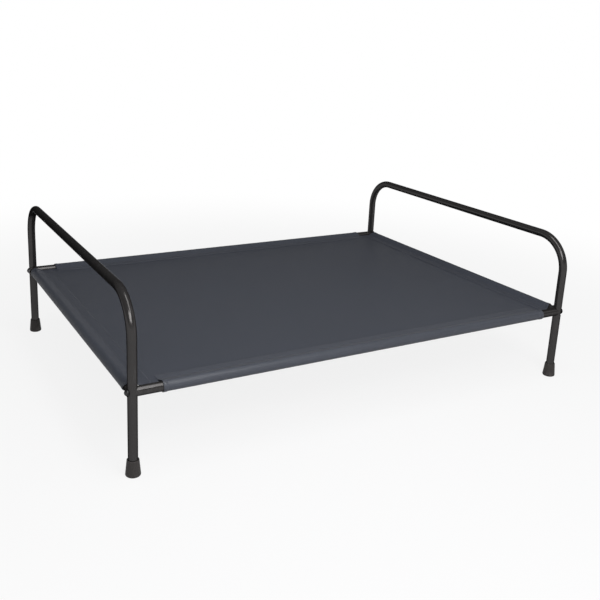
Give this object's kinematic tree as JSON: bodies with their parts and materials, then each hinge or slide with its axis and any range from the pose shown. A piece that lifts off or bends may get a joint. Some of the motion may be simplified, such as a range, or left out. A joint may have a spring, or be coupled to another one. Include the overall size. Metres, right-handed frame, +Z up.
{
  "type": "raised pet cot",
  "caption": "Raised pet cot: a taut woven cloth sling held by sewn casings on a bolted steel tube frame, with end hoops that rise above the bed and flared rubber feet.",
  "frame": {"origin": "on the floor, under the middle of the cot", "axes": "+X along the cot, towards its right end; +Y across it, towards the back; +Z up"},
  "size_m": [1.2846, 0.949, 0.413],
  "materials": {
    "frame": "semi-gloss black powder coat",
    "bolt": "black plated",
    "washer": "black plated",
    "foot": "matt moulded rubber",
    "plug": "zinc plated",
    "cloth": "plain weave, coated",
    "casing": "plain weave, coated",
    "tape": "hook and loop"
  },
  "bodies": {
    "root": {"left_hoop": "frame", "right_hoop": "frame", "left_end_rail": "frame", "right_end_rail": "frame", "front_side_rail": "frame", "back_side_rail": "frame", "front_left_foot": "foot", "back_left_foot": "foot", "front_right_foot": "foot", "back_right_foot": "foot", "front_left_bolt": "bolt", "back_left_bolt": "bolt", "front_right_bolt": "bolt", "back_right_bolt": "bolt", "front_left_washer": "washer", "back_left_washer": "washer", "front_right_washer": "washer", "back_right_washer": "washer", "front_left_plug": "plug", "back_left_plug": "plug", "front_right_plug": "plug", "back_right_plug": "plug", "sling_panel": "cloth", "front_casing": "casing", "back_casing": "casing", "left_end_casing": "casing", "right_end_casing": "casing", "left_loop_tape": "tape", "right_loop_tape": "tape", "left_hook_tape": "tape", "right_hook_tape": "tape"}
  },
  "joints": []
}
